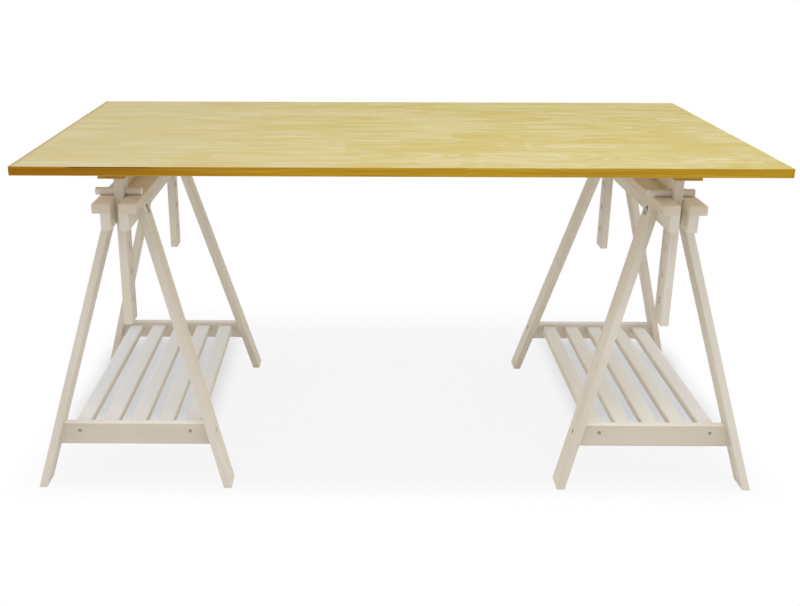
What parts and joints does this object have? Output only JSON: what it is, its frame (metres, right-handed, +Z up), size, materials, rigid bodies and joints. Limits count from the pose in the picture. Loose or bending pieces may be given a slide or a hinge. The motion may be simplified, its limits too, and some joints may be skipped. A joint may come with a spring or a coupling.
{
  "type": "trestle table",
  "caption": "Loose pine tabletop on height-adjustable wooden trestles with splayed legs, pegged posts and slatted shelves.",
  "frame": {"origin": "on the floor under the middle of the tabletop", "axes": "+X along the tabletop towards the right trestle, +Y towards the back, +Z up"},
  "size_m": [1.551, 0.82, 0.721],
  "materials": {
    "pine_top": "clear satin lacquer on pine, long cathedral grain",
    "pine_bearer": "golden brown pine batten",
    "limed_wood": "whitewashed matt pine",
    "raw_dowel": "raw beech dowel",
    "zinc_steel": "dull zinc plate"
  },
  "bodies": {
    "left_frame": {"left_outer_rail_cap": "limed_wood", "left_outer_rail_board": "limed_wood", "left_front_outer_leg": "limed_wood", "left_back_outer_leg": "limed_wood", "left_inner_rail_cap": "limed_wood", "left_inner_rail_board": "limed_wood", "left_front_inner_leg": "limed_wood", "left_back_inner_leg": "limed_wood", "left_front_crossbar": "limed_wood", "left_back_crossbar": "limed_wood", "left_spacer_strip": "limed_wood", "left_shelf_slat_1": "limed_wood", "left_shelf_slat_2": "limed_wood", "left_shelf_slat_3": "limed_wood", "left_shelf_slat_4": "limed_wood", "left_shelf_slat_5": "limed_wood", "left_apex_bolts": "zinc_steel", "left_apex_washers": "zinc_steel", "left_apex_nuts": "zinc_steel", "left_shelf_bolts": "zinc_steel", "left_barrel_nuts": "zinc_steel", "left_slat_dowels": "raw_dowel"},
    "left_riser": {"left_front_post": "limed_wood", "left_back_post": "limed_wood", "left_bearer": "pine_bearer", "left_bearer_screws": "zinc_steel"},
    "right_frame": {"right_outer_rail_cap": "limed_wood", "right_outer_rail_board": "limed_wood", "right_front_outer_leg": "limed_wood", "right_back_outer_leg": "limed_wood", "right_inner_rail_cap": "limed_wood", "right_inner_rail_board": "limed_wood", "right_front_inner_leg": "limed_wood", "right_back_inner_leg": "limed_wood", "right_front_crossbar": "limed_wood", "right_back_crossbar": "limed_wood", "right_spacer_strip": "limed_wood", "right_shelf_slat_1": "limed_wood", "right_shelf_slat_2": "limed_wood", "right_shelf_slat_3": "limed_wood", "right_shelf_slat_4": "limed_wood", "right_shelf_slat_5": "limed_wood", "right_apex_bolts": "zinc_steel", "right_apex_washers": "zinc_steel", "right_apex_nuts": "zinc_steel", "right_shelf_bolts": "zinc_steel", "right_barrel_nuts": "zinc_steel", "right_slat_dowels": "raw_dowel"},
    "right_riser": {"right_front_post": "limed_wood", "right_back_post": "limed_wood", "right_bearer": "pine_bearer", "right_bearer_screws": "zinc_steel"},
    "tabletop": {"tabletop": "pine_top"},
    "left_front_peg": {"left_front_peg": "limed_wood"},
    "left_back_peg": {"left_back_peg": "limed_wood"},
    "right_front_peg": {"right_front_peg": "limed_wood"},
    "right_back_peg": {"right_back_peg": "limed_wood"}
  },
  "joints": [
    {"name": "trestle_spacing", "type": "slide", "parent": "left_frame", "child": "right_frame", "axis": [1, 0, 0], "range_m": [-0.45, 0.1]},
    {"name": "left_height", "type": "slide", "parent": "left_frame", "child": "left_riser", "axis": [0, 0, 1], "range_m": [0, 0.232]},
    {"name": "right_height", "type": "slide", "parent": "right_frame", "child": "right_riser", "axis": [0, 0, 1], "range_m": [0, 0.232]},
    {"name": "tabletop_lift", "type": "slide", "parent": "left_riser", "child": "tabletop", "axis": [0, 0, 1], "range_m": [0, 0.25]},
    {"name": "left_front_peg_pull", "type": "slide", "parent": "left_riser", "child": "left_front_peg", "axis": [-1, 0, 0], "range_m": [0, 0.08]},
    {"name": "left_back_peg_pull", "type": "slide", "parent": "left_riser", "child": "left_back_peg", "axis": [-1, 0, 0], "range_m": [0, 0.08]},
    {"name": "right_front_peg_pull", "type": "slide", "parent": "right_riser", "child": "right_front_peg", "axis": [1, 0, 0], "range_m": [0, 0.08]},
    {"name": "right_back_peg_pull", "type": "slide", "parent": "right_riser", "child": "right_back_peg", "axis": [1, 0, 0], "range_m": [0, 0.08]}
  ],
  "couplings": [
    {"joint": "right_height", "follows": "left_height", "ratio": 1}
  ]
}
